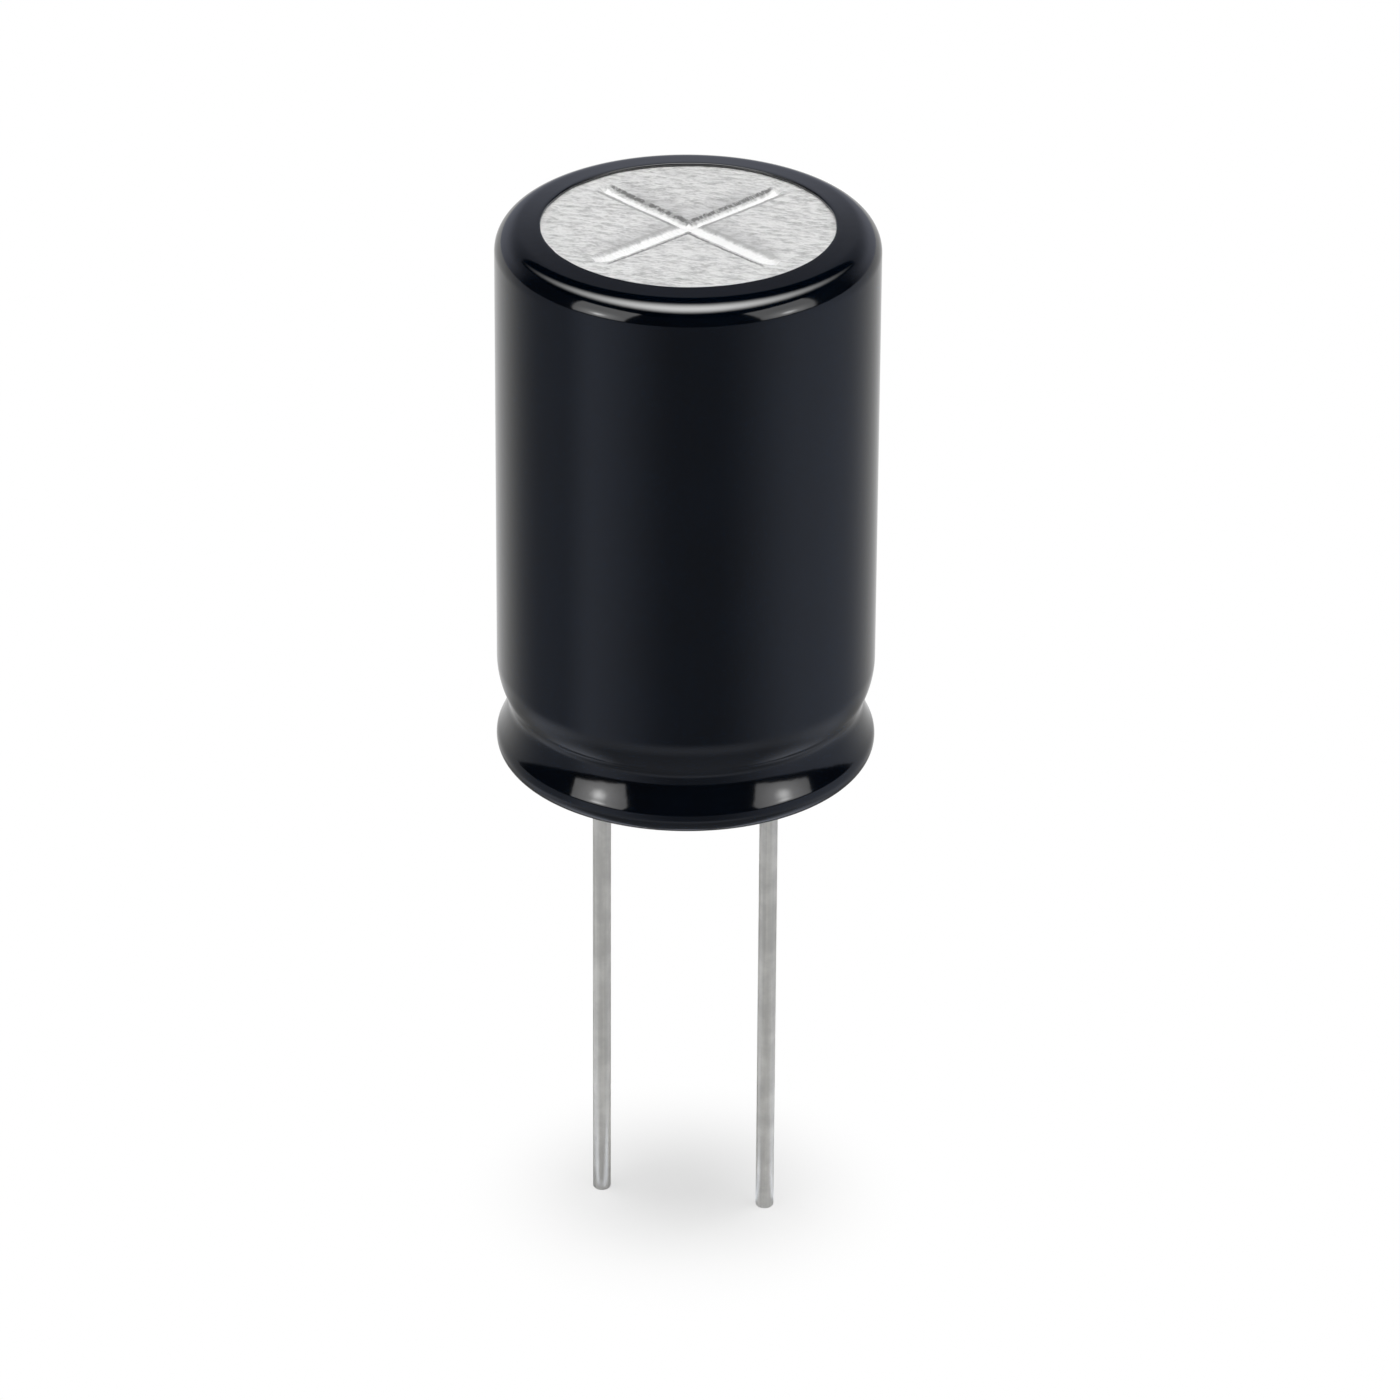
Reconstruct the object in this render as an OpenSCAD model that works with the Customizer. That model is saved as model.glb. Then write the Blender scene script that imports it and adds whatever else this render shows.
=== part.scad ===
// Radial electrolytic capacitor: a drawn can crimped over a rubber seal, in a shrink sleeve.
// The origin is the centre of the seat, +Z runs up the can and the leads point down at +X and -X.

/* [Can] */
// Outside diameter of the bare can
can_d = 16.2; // [15:0.2:18]
// Height of the sleeved body above its seat
body_h = 25.2; // [23:0.2:36]
// Thickness of the sheet that the can is drawn from
can_wall = 0.4; // [0.3:0.02:0.44]
// Outside radius of the can's upper shoulder
can_shoulder_r = 1; // [0.7:0.05:1.2]

/* [Crimp] */
// Outside radius of the groove's floor
groove_r = 0.35; // [0.3:0.05:0.5]
// Outside radius where the wall turns in to the groove
groove_shoulder_r = 3.7; // [3.5:0.1:4.1]
// Outside radius of the bead
bead_r = 0.7; // [0.6:0.05:0.8]
// Length of the straight flank from the bead up to the groove
flank = 1.05; // [0.95:0.05:1.15]
// Inward reach of the rim's flat, from the middle of the bead to the curl
rim_flat = 0.45; // [0.35:0.05:0.6]
// Outside radius of the curl that bites up into the seal
rim_curl_r = 0.65; // [0.55:0.05:0.7]

/* [Vent] */
// Distance from the end of each scored arm to the edge of the film's opening
vent_margin = 0.8; // [0.5:0.05:1.9]
// Width of the score at the surface
vent_w = 0.85; // [0.6:0.05:1]
// Depth of the score below the surface
vent_depth = 0.29; // [0.2:0.01:0.29]
// Width of the shallow valley that the scoring punch leaves round each arm
valley_w = 3.2; // [2.4:0.2:3.6]
// Depth of that valley
valley_depth = 0.07; // [0.03:0.01:0.1]
// Turn of the cross from the line through the leads, in degrees
vent_turn = 53; // [40:1:60]

/* [Sleeve] */
// Thickness of the shrink film
film = 0.13; // [0.08:0.01:0.2]
// Clearance of the film round the can
film_gap = 0.02; // [0.01:0.01:0.03]
// How far the film laps in from the can's wall over its top
film_top_lap = 1.82; // [1.6:0.02:2.2]
// How far the film laps in from the can's wall under the bead
film_seat_lap = 1.25; // [1.1:0.05:1.4]

/* [Leads] */
// Diameter of each lead wire
lead_d = 0.8; // [0.6:0.05:0.8]
// Distance between the two leads
lead_pitch = 7.5; // [7:0.1:8]
// Length of each lead below the seat
lead_length = 23; // [15:0.5:36]
// Radius of the edge round each cut tip
tip_r = 0.1; // [0.05:0.01:0.12]
// Diameter of the weld that joins the wire to its terminal
weld_d = 1.3; // [1.1:0.1:1.4]
// Height of the weld's taper, which starts just above the seat
weld_h = 1.15; // [0.5:0.05:1.2]

/* [Seal] */
// Height of the seal's outer face above the seat
seal_recess = 0.5; // [0.4:0.05:0.8]
// Thickness of the seal
seal_h = 5.75; // [5.5:0.05:6.4]
// Clearance round the seal, in the can and round the terminals
seal_gap = 0.02; // [0.01:0.01:0.03]
// Diameter of the mouth that clears each wire
mouth_d = 1.5; // [1.5:0.05:1.7]
// Depth of that mouth
mouth_h = 0.9; // [0.7:0.1:1]
// Depth of the wide countersink round each mouth
countersink_h = 0.25; // [0.1:0.05:0.3]

/* [Terminals] */
// Diameter of the terminal's round shank
shank_d = 2; // [1.8:0.05:2.2]
// Length of shank left above the seal
shank_stub = 0.5; // [0.3:0.1:0.7]
// Height over which the shank is pressed flat
press_h = 1; // [0.8:0.1:1.2]
// Width of the flattened tab
tab_w = 2.7; // [2.4:0.1:3]
// Thickness of the flattened tab
tab_t = 0.3; // [0.24:0.02:0.34]
// Length of tab inside the winding
tab_length = 12; // [8:0.5:13]
// Clearance of the tab between its layers
tab_gap = 0.03; // [0.02:0.01:0.05]

/* [Winding] */
// Least clearance of the taped winding inside the can's wall
winding_clearance = 0.3; // [0.2:0.05:0.8]
// Distance from the seal to the winding
winding_rise = 1.9; // [1.7:0.1:2.2]
// Headroom between the winding and the can's top
winding_headroom = 0.7; // [0.5:0.1:0.9]
// Turns wound inside the terminals' tabs
inner_turns = 6; // [4:1:7]
// Thickness of the etched anode foil
anode_t = 0.12; // [0.1:0.01:0.13]
// Thickness of the cathode foil
cathode_t = 0.06; // [0.04:0.01:0.07]
// Thickness of each paper separator
paper_t = 0.06; // [0.04:0.01:0.07]
// Clearance between one layer and the next
layer_gap = 0.01; // [0.005:0.005:0.015]
// How far the paper stands past the foil at each end
paper_margin = 0.8; // [0.5:0.1:1]
// Thickness of the tape that holds the winding shut
tape_t = 0.06; // [0.04:0.01:0.08]
// Height of the tape
tape_h = 10; // [6:0.5:12]

/* [Hidden] */
$fn = 96;

// A cut runs this far past the face that it opens.
past = 1;
whole_turn = 360;
// Steps out and up in a half section, longer than any radius there.
out = [can_d, 0];
up = [0, can_d];

// Heights and radii of the can's outside.
can_r = can_d / 2;
skin = film_gap + film;
can_bottom = skin;
can_top = body_h - skin;

// The bead, the groove and the wall's turn are arcs that run into each other: the bead's flank
// is square to flank_out, and the centres of the other two lie one sum of radii apart along
// wall_slope. Both are slopes of a 3-4-5 triangle, so that every centre is a short decimal and
// the arcs meet with no sliver between.
flank_out = [0.8, 0.6];
flank_up = [-0.6, 0.8];
wall_slope = [-0.8, 0.6];
bead_step = (bead_r + groove_r) * flank_out + flank * flank_up;
wall_step = (groove_r + groove_shoulder_r) * wall_slope;
bead = [can_r - groove_shoulder_r - wall_step.x - bead_step.x, can_bottom + bead_r];
groove = bead + bead_step;
turn = groove + wall_step;
shoulder = [can_r - can_shoulder_r, can_top - can_shoulder_r];
rim_r = bead.x - rim_flat;
curl = [rim_r, can_bottom + rim_curl_r];
film_top_r = can_r - film_top_lap;
film_seat_r = can_r - film_seat_lap;
vent_reach = film_top_r - vent_margin;

// The seal and what passes through it.
seal_top = seal_recess + seal_h;
lead_x = lead_pitch / 2;
weld_top = seal_recess + mouth_h;
shank_top = seal_top + shank_stub;
tab_bottom = shank_top + press_h;

// The winding. Each strip is a spiral of half rings, whose centres change sides at every half turn.
winding_bottom = seal_top + winding_rise;
winding_top = can_top - can_wall - winding_headroom;
winding_r = can_r - can_wall - winding_clearance;
pitch = anode_t + cathode_t + 2 * (paper_t + 2 * layer_gap);
half = pitch / 2;
tab_room = tab_t + 2 * tab_gap;
anode_at = 0;
inner_paper_at = anode_at + anode_t + layer_gap;
cathode_at = inner_paper_at + paper_t + layer_gap;
outer_paper_at = cathode_at + cathode_t + layer_gap;
// The positive tab lies inside the anode at +X, and the negative tab inside the cathode at -X,
// so the winding steps out round each of them, and its middle is set so that both meet the leads.
negative_step = 2 * inner_turns - 3;
positive_step = 2 * inner_turns - 2;
winding_x = (cathode_at - pitch) / 2;
core_r = lead_x - winding_x - inner_turns * pitch - (tab_room - layer_gap) / 2;
half_turns = floor(2 * (winding_r - tape_t - core_r - tab_room) / pitch) - 3;

// A sector of a disc about the point c, anticlockwise from the bearing of one point to another's.
module pie(c, r, from, to) {
    start = bearing(c, from);
    turn_by = (bearing(c, to) - start + whole_turn) % whole_turn;
    intersection() {
        circle_at(c, r);
        polygon([c, from, for (part = [1, 2]) c + 3 * r * heading(start + part * turn_by / 3), to]);
    }
}

module circle_at(c, r) {
    translate(c) circle(r);
}

function bearing(from, to) = atan2(to.y - from.y, to.x - from.x);
function heading(angle) = [cos(angle), sin(angle)];

// A rectangle between two corners.
module block(low, high) {
    translate(low) square(high - low);
}

// The lower body from its bottom to the straight wall, grown outwards by e.
module crimped_foot(e) {
    block([0, can_bottom - e], bead);
    pie(bead, bead_r + e, bead - up, bead + can_d * flank_out);
    difference() {
        polygon([
            [0, bead.y], bead, bead + (bead_r + e) * flank_out,
            groove - (groove_r - e) * flank_out, groove, turn, [0, turn.y]
        ]);
        circle_at(groove, groove_r - e);
    }
    pie(turn, groove_shoulder_r + e, groove, turn + out);
}

// The outline of the can, grown outwards by e and filled to the axis. The film follows it.
module can_outline(e) {
    crimped_foot(e);
    block([0, turn.y], [can_r + e, shoulder.y]);
    block([0, shoulder.y], [shoulder.x, can_top + e]);
    pie(shoulder, can_shoulder_r + e, shoulder + out, shoulder + up);
}

module sleeve() {
    color("#1a1d24")
    rotate_extrude() difference() {
        can_outline(skin);
        can_outline(film_gap);
        block([0, shoulder.y], [film_top_r, body_h + past]);
        block([0, -past], [film_seat_r, bead.y]);
    }
}

// A V-shaped bar across the centre of the can's top, hipped at its ends.
module scored_bar(width, depth, reach) {
    intersection() {
        rotate([90, 0, 90]) linear_extrude(2 * reach, center = true)
            polygon([[0, -depth], [width / 2, 0], [width / 2, past], [-width / 2, past], [-width / 2, 0]]);
        rotate([90, 0, 0]) linear_extrude(width, center = true)
            polygon([
                [width / 2 - reach, -depth], [reach - width / 2, -depth],
                [reach, 0], [reach, past], [-reach, past], [-reach, 0]
            ]);
    }
}

module can_wall_section() {
    difference() {
        can_outline(0);
        can_outline(-can_wall);
        block([0, -past], [rim_r, bead.y]);
    }
    difference() {
        pie(curl, rim_curl_r, curl - out, curl - up);
        circle_at(curl, rim_curl_r - can_wall);
    }
}

module can() {
    color("#c9cacc")
    difference() {
        rotate_extrude() can_wall_section();
        for (quarter = [0, 90]) translate([0, 0, can_top]) rotate(vent_turn + quarter) {
            scored_bar(vent_w, vent_depth, vent_reach);
            scored_bar(valley_w, valley_depth, vent_reach);
        }
    }
}

module rubber_seal() {
    boss_r = curl.x - rim_curl_r - seal_gap;
    color("#2b2a29")
    difference() {
        rotate_extrude() {
            difference() {
                can_outline(-can_wall - seal_gap);
                block([0, seal_top], [can_r, body_h]);
                block([0, 0], [curl.x, curl.y + seal_gap]);
            }
            block([0, seal_recess], [boss_r, curl.y + seal_gap]);
        }
        for (side = [-1, 1]) translate([side * lead_x, 0, seal_recess]) {
            translate([0, 0, mouth_h]) cylinder(h = seal_h, d = shank_d + 2 * seal_gap);
            translate([0, 0, -past]) cylinder(h = mouth_h + 2 * past, d = mouth_d);
            cylinder(h = countersink_h, d1 = mouth_d + 2 * countersink_h, d2 = mouth_d);
        }
    }
}

// A round wire with an eased tip, swelling to the weld at its top.
module lead_wire(side) {
    r = lead_d / 2;
    tip = [r - tip_r, tip_r - lead_length];
    flare = weld_top - weld_h;
    color("#b8b7b0")
    translate([side * lead_x, 0, 0]) rotate_extrude() {
        block([0, -lead_length], tip);
        pie(tip, tip_r, tip - up, tip + out);
        block([0, tip.y], [r, flare]);
        polygon([[0, flare], [r, flare], [weld_d / 2, weld_top], [0, weld_top]]);
    }
}

module lead_wire_positive() {
    lead_wire(1);
}

module lead_wire_negative() {
    lead_wire(-1);
}

// A round shank that passes through the seal and is pressed flat above it.
module terminal(side) {
    r = shank_d / 2;
    color("#d4d5d6")
    translate([side * lead_x, 0, 0]) {
        translate([0, 0, weld_top]) cylinder(h = shank_top - weld_top, d = shank_d);
        intersection() {
            translate([0, 0, shank_top]) cylinder(h = press_h, d1 = shank_d, d2 = tab_w);
            rotate([90, 0, 0]) linear_extrude(tab_w, center = true)
                polygon([[-r, shank_top], [r, shank_top], [tab_t / 2, tab_bottom], [-tab_t / 2, tab_bottom]]);
        }
    }
    translate([0, 0, tab_bottom]) linear_extrude(winding_bottom + tab_length - tab_bottom)
        intersection() {
            translate([winding_x, 0]) difference() {
                circle(lead_x - side * winding_x + tab_t / 2);
                circle(lead_x - side * winding_x - tab_t / 2);
            }
            translate([side * lead_x, 0]) square([shank_d, tab_w], center = true);
        }
}

module terminal_positive() {
    terminal(1);
}

module terminal_negative() {
    terminal(-1);
}

// Half ring number j of a strip that lies `at` outside the spiral's base line. A strip that
// passes inside the negative tab steps out round it one turn later.
module half_ring(j, at, thick, height, late) {
    for_positive = j > positive_step ? tab_room / 2 : 0;
    for_negative = j > negative_step + late ? tab_room / 2 : 0;
    r = core_r + j * half + for_positive + for_negative;
    x = (j % 2) * half + for_positive - for_negative;
    translate([winding_x + x, 0]) rotate(j % 2 == 0 ? 0 : 180)
        rotate_extrude(angle = 180) translate([r + at, 0]) square([thick, height]);
}

module strip(first, last, at, thick, low, high, late) {
    translate([0, 0, low]) for (j = [first : last]) half_ring(j, at, thick, high - low, late);
}

module anode_foil() {
    color("#8f9296")
    strip(2, half_turns - 3, anode_at, anode_t,
          winding_bottom + paper_margin, winding_top - paper_margin, 2);
}

module cathode_foil() {
    color("#c4c6c9")
    strip(2, half_turns - 1, cathode_at, cathode_t,
          winding_bottom + paper_margin, winding_top - paper_margin, 0);
}

module separator_inner() {
    color("#d8c9a4")
    strip(0, half_turns, inner_paper_at, paper_t, winding_bottom, winding_top, 2);
}

module separator_outer() {
    color("#cdbd96")
    strip(0, half_turns, outer_paper_at, paper_t, winding_bottom, winding_top, 0);
}

module winding_tape() {
    middle = (winding_bottom + winding_top) / 2;
    color("#c8b27a")
    strip(half_turns + 1, half_turns + 3, anode_at, tape_t, middle - tape_h / 2, middle + tape_h / 2, 0);
}

sleeve();
can();
rubber_seal();
lead_wire_positive();
lead_wire_negative();
terminal_positive();
terminal_negative();
anode_foil();
cathode_foil();
separator_inner();
separator_outer();
winding_tape();
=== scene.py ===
"""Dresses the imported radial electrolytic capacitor: its film sleeve, scored can, leads and studio."""
import math

import bmesh
import bpy
from bpy.props import FloatProperty, FloatVectorProperty, IntProperty, PointerProperty
from mathutils import Matrix, Vector, geometry, noise


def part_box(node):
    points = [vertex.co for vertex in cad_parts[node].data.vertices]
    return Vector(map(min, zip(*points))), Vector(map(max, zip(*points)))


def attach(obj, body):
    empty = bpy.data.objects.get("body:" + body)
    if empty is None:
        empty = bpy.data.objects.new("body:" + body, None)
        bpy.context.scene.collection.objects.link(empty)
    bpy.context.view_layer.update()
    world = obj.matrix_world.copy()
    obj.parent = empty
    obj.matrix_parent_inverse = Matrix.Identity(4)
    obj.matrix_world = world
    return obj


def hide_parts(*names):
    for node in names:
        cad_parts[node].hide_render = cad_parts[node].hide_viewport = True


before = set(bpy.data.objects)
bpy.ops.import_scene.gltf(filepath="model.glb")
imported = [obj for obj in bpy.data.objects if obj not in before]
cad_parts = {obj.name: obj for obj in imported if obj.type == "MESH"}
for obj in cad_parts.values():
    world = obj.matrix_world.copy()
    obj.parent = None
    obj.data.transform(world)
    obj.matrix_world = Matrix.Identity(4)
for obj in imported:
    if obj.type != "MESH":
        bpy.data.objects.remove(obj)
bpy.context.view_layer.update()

bl_info = {
    "name": "Radial capacitor dressing",
    "version": (1, 0, 0),
    "blender": (4, 5, 0),
    "location": "3D View > Sidebar > Capacitor",
    "description": "Film sleeve, scored can, seal, leads, winding and studio for a packed capacitor",
    "category": "Object",
}

MM = 0.001
AXIS = (0, 0, 1)
SEAT_TO_TIP = -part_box("lead_wire_positive")[0].z
BODY_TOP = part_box("sleeve")[1].z
CAN_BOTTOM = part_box("can")[0].z
CAN_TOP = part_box("can")[1].z
LEAD_X = (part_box("lead_wire_positive")[0].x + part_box("lead_wire_positive")[1].x) / 2
# The flank's outward and upward slopes and the wall's turn, as in the CAD source.
FLANK_OUT = Vector((0.8, 0.6))
FLANK_UP = Vector((-0.6, 0.8))
WALL_SLOPE = Vector((-0.8, 0.6))


def length(name, description, value):
    """A length in millimetres as a property in metres."""
    return FloatProperty(
        name=name, description=description, default=value * MM, unit="LENGTH", precision=6, min=0
    )


def colour(name, description, value):
    """A linear colour as a property."""
    return FloatVectorProperty(
        name=name, description=description, default=value, size=3, subtype="COLOR", min=0, max=1
    )


class CAPACITOR_PG_body(bpy.types.PropertyGroup):
    """Sizes that the film and the can share."""

    can_radius: length("Can radius", "Outside radius of the bare can", 8.1)
    can_wall: length("Can wall", "Thickness of the drawn sheet", 0.4)
    can_shoulder: length("Can shoulder", "Outside radius of the can's upper shoulder", 1)
    groove: length("Groove", "Outside radius of the groove's floor", 0.35)
    wall_turn: length("Wall turn", "Outside radius where the wall turns in to the groove", 3.7)
    bead: length("Bead", "Outside radius of the bead", 0.7)
    flank: length("Flank", "Length of the straight flank from the bead up to the groove", 1.05)
    rim_flat: length("Rim flat", "Flat of the rim from the middle of the bead to the curl", 0.45)
    rim_curl: length("Rim curl", "Outside radius of the curl that bites into the seal", 0.65)
    segments: IntProperty(name="Segments", description="Steps in a full turn", default=256, min=32)


class CAPACITOR_PG_film(bpy.types.PropertyGroup):
    """The shrink film."""

    thickness: length("Thickness", "Thickness of the film", 0.1235)
    clearance: length("Clearance", "Gap between the film and the can", 0.02)
    top_radius: length("Top opening", "Radius of the opening over the can's top", 6.28)
    hollow: length("Hollow", "Inside radius of the hollow flank that bridges the groove", 6.6)
    flank_slope: FloatProperty(
        name="Flank slope", description="Slope at the flank's foot, where the bead ends",
        default=math.radians(25.7), subtype="ANGLE",
    )
    crease: length("Crease", "Inside radius of the crease under the wall", 1.2)
    seat_radius: length("Seat opening", "Radius of the opening under the bead", 6.85)
    edge: length("Edge", "Radius that eases the film's cut edges", 0.06)
    ripple: length("Ripple", "Unevenness of the cut edge of the opening", 0.03)
    ring_fall: FloatProperty(
        name="Ring fall", description="Fall of the top ring away from the opening",
        default=math.radians(5), subtype="ANGLE",
    )
    tint: colour("Tint", "Colour of the film", (0.0004, 0.0018, 0.0045))


class CAPACITOR_PG_vent(bpy.types.PropertyGroup):
    """The scored cross in the can's top."""

    reach: length("Reach", "Reach of each arm from the centre", 5.48)
    width: length("Width", "Width of the score at the surface", 0.85)
    depth: length("Depth", "Depth of the score", 0.27)
    valley_width: length("Valley width", "Width of the dished strip along each arm", 3.2)
    valley_depth: length("Valley depth", "Depth of the dished strip", 0.07)
    turn: FloatProperty(
        name="Turn", description="Turn of the cross from the line through the leads",
        default=math.radians(55), subtype="ANGLE",
    )
    off_centre: length("Off centre", "Shift of the cross along each of its arms", 0.24)
    metal: colour("Metal", "Colour of the can's aluminium", (0.83, 0.83, 0.825))


class CAPACITOR_PG_lead(bpy.types.PropertyGroup):
    """The wire leads."""

    radius: length("Radius", "Radius of the wire", 0.4)
    tip: length("Tip", "Radius of the edge round the cut tip", 0.1)
    flare_foot: length("Flare foot", "Height where the weld's taper starts", 0.25)
    weld_top: length("Weld top", "Height of the weld's upper face", 1.4)
    weld_radius: length("Weld radius", "Radius of the weld at the terminal", 0.65)
    tin: colour("Tin", "Colour of the tin plating", (0.98, 0.965, 0.915))
    segments: IntProperty(name="Segments", description="Steps in a full turn", default=64, min=16)


class CAPACITOR_PG_studio(bpy.types.PropertyGroup):
    """The camera and floor."""

    lens: FloatProperty(
        name="Lens", description="Focal length of the camera", default=207.53, unit="CAMERA"
    )
    floor_radius: length("Floor", "Radius of the floor", 2500)


# Shader helper


class Wire:
    """A shader socket that takes part in Python expressions."""

    def __init__(self, tree, socket):
        self.tree = tree
        self.socket = socket

    def node(self, kind, settings=None, inputs=None, output=0):
        """Adds any node: its settings first, then values or links by socket name or number."""
        made = self.tree.nodes.new(kind)
        for key, value in (settings or {}).items():
            setattr(made, key, value)
        for key, value in (inputs or {}).items():
            self.feed(made.inputs[key], value)
        return Wire(self.tree, made.outputs[output])

    def feed(self, socket, value):
        """Links a wire into the socket, or sets the socket to a value."""
        if isinstance(value, Wire):
            self.tree.links.new(value.socket, socket)
        else:
            socket.default_value = value

    def maths(self, operation, *others, clamp=False):
        """A Math node that takes this wire first and the others after it."""
        return self.node(
            "ShaderNodeMath", {"operation": operation, "use_clamp": clamp},
            dict(enumerate((self, *others))),
        )

    def __add__(self, other):
        return self.maths("ADD", other)

    __radd__ = __add__

    def __sub__(self, other):
        return self.maths("SUBTRACT", other)

    def __rsub__(self, other):
        return self.node("ShaderNodeMath", {"operation": "SUBTRACT"}, {0: other, 1: self})

    def __mul__(self, other):
        return self.maths("MULTIPLY", other)

    __rmul__ = __mul__

    def dot(self, direction):
        return self.node(
            "ShaderNodeVectorMath", {"operation": "DOT_PRODUCT"}, {0: self, 1: direction}, output="Value")

    def magnitude(self):
        """The value without its sign."""
        return self.maths("ABSOLUTE")

    def clamped(self):
        """The value, held between 0 and 1."""
        return self.maths("ADD", 0.0, clamp=True)

    def between(self, low, high):
        """0 at low and 1 at high, smoothly."""
        return self.node(
            "ShaderNodeMapRange",
            {"interpolation_type": "SMOOTHSTEP"},
            {"Value": self, "From Min": low, "From Max": high, "To Min": 0.0, "To Max": 1.0},
        )


def as_input(tone):
    """A colour as a socket takes it, whether it is a wire or three numbers."""
    return tone if isinstance(tone, Wire) else (*tone, 1)


def blend_colours(mask, first, second):
    """One colour where the mask is 0 and the other where it is 1."""
    return mask.node(
        "ShaderNodeMix", {"data_type": "RGBA"},
        {0: mask, 6: as_input(first), 7: as_input(second)}, output=2,
    )


def tinted(level, tone, amount=1.0):
    """A level multiplied by a colour, by the amount that is given."""
    return level.node(
        "ShaderNodeMix", {"data_type": "RGBA", "blend_type": "MULTIPLY"},
        {0: amount, 6: level, 7: as_input(tone)}, output=2,
    )


def new_material(name, constants):
    """A Principled material with its constant sockets set; returns it, its shader and a first wire."""
    material = bpy.data.materials.new(name)
    material.use_nodes = True
    tree = material.node_tree
    shader = tree.nodes["Principled BSDF"]
    for key, value in constants.items():
        shader.inputs[key].default_value = value
    point = Wire(tree, tree.nodes.new("ShaderNodeTexCoord").outputs["Object"])
    return material, shader, point


def set_surface(shader, point, values):
    """Wires the varying sockets of a material's shader."""
    for key, value in values.items():
        point.feed(shader.inputs[key], value)


def stretched(point, scale, turn=(0, 0, 0)):
    """The point turned, then scaled along each axis."""
    return point.node(
        "ShaderNodeMapping", {}, {"Vector": point, "Rotation": turn, "Scale": scale}
    )


def speckle(point, scale, detail=2.0, rough=0.5):
    """Noise from 0 to 1 with that many grains to the metre."""
    return point.node(
        "ShaderNodeTexNoise", {}, {"Vector": point, "Scale": scale, "Detail": detail, "Roughness": rough}
    )


def bumped(height, depth, strength=1.0):
    """A normal bent by a height that stands for that depth in metres."""
    return height.node(
        "ShaderNodeBump", {}, {"Height": height, "Distance": depth, "Strength": strength}
    )


# Meshes


def arc(centre, radius, start, end, steps):
    """Points from one angle to another round a centre in the (radius, height) plane."""
    return [
        centre + radius * Vector((math.cos(a), math.sin(a)))
        for a in (math.radians(start + (end - start) * k / steps) for k in range(steps + 1))
    ]


def spun(bm, profile, steps, closed):
    """Spins a profile of (radius, height) points a full turn about the axis."""
    verts = [bm.verts.new((p.x, 0, p.y)) for p in profile]
    pairs = list(zip(verts, verts[1:])) + ([(verts[-1], verts[0])] if closed else [])
    edges = [bm.edges.new(pair) for pair in pairs]
    bmesh.ops.spin(
        bm, geom=verts + edges, cent=(0, 0, 0), axis=AXIS, angle=math.tau, steps=steps, use_merge=True
    )
    bmesh.ops.remove_doubles(bm, verts=bm.verts, dist=1e-7)


def finished(bm, name, material, nodes, at=(0, 0, 0)):
    """Makes the piece from its bmesh, rides it on the body and hides the CAD nodes that it stands for."""
    bmesh.ops.recalc_face_normals(bm, faces=bm.faces)
    bmesh.ops.translate(bm, verts=bm.verts, vec=at)
    mesh = bpy.data.meshes.new(name)
    bm.to_mesh(mesh)
    bm.free()
    mesh.shade_smooth()
    mesh.materials.append(material)
    piece = bpy.data.objects.new(name, mesh)
    bpy.context.scene.collection.objects.link(piece)
    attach(piece, "root")
    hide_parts(*nodes)
    return piece


def crimp_centres(body):
    """Centres of the arcs of the bead, the groove and the wall's turn."""
    bead_step = (body.bead + body.groove) * FLANK_OUT + body.flank * FLANK_UP
    wall_step = (body.groove + body.wall_turn) * WALL_SLOPE
    bead = Vector((body.can_radius - body.wall_turn - wall_step.x - bead_step.x, CAN_BOTTOM + body.bead))
    groove = bead + bead_step
    return bead, groove, groove + wall_step


def crimp(body, grown):
    """The can's arcs from the seat to the straight wall, grown outwards, from the bottom up."""
    bead, groove, turn = crimp_centres(body)
    bead_angle = math.degrees(math.atan2(FLANK_OUT.y, FLANK_OUT.x))
    turn_angle = math.degrees(math.atan2(-WALL_SLOPE.y, -WALL_SLOPE.x))
    return (
        arc(bead, body.bead + grown, -90, bead_angle, steps=20)
        + arc(groove, body.groove - grown, bead_angle + 180, turn_angle + 180, steps=12)
        + arc(turn, body.wall_turn + grown, turn_angle, 0, steps=12)
    )


def bridged(body, film, grown):
    """The film's arcs from the seat to the wall: it bridges the can's groove in a hollow flank."""
    bead, _, turn = crimp_centres(body)
    slope = math.degrees(film.flank_slope)
    flank_out = Vector((math.cos(film.flank_slope), math.sin(film.flank_slope)))
    hollow = bead + (body.bead + film.hollow) * flank_out
    # The crease lies inside the hollow flank's circle and touches the turn's from outside.
    crease = min(
        geometry.intersect_sphere_sphere_2d(
            turn, body.wall_turn + film.crease, hollow, film.hollow - film.crease),
        key=lambda point: point.x)
    low, high = hollow - crease, crease - turn
    low_angle = math.degrees(math.atan2(low.y, low.x))
    turn_angle = math.degrees(math.atan2(high.y, high.x))
    return (
        arc(bead, body.bead + grown, -90, slope, steps=26)
        + arc(hollow, film.hollow - grown, slope + 180, low_angle + 180, steps=16)[1:]
        + arc(crease, film.crease - grown, low_angle + 180, turn_angle + 180, steps=12)[1:]
        + arc(turn, body.wall_turn + grown, turn_angle, 0, steps=20)[1:]
    )


def waves(point, scale, seed):
    """Smooth noise about 0 at a point, for shaping vertices."""
    return noise.noise(point * scale + Vector((seed, seed * 0.7, seed * 1.3)))


# Materials


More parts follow.
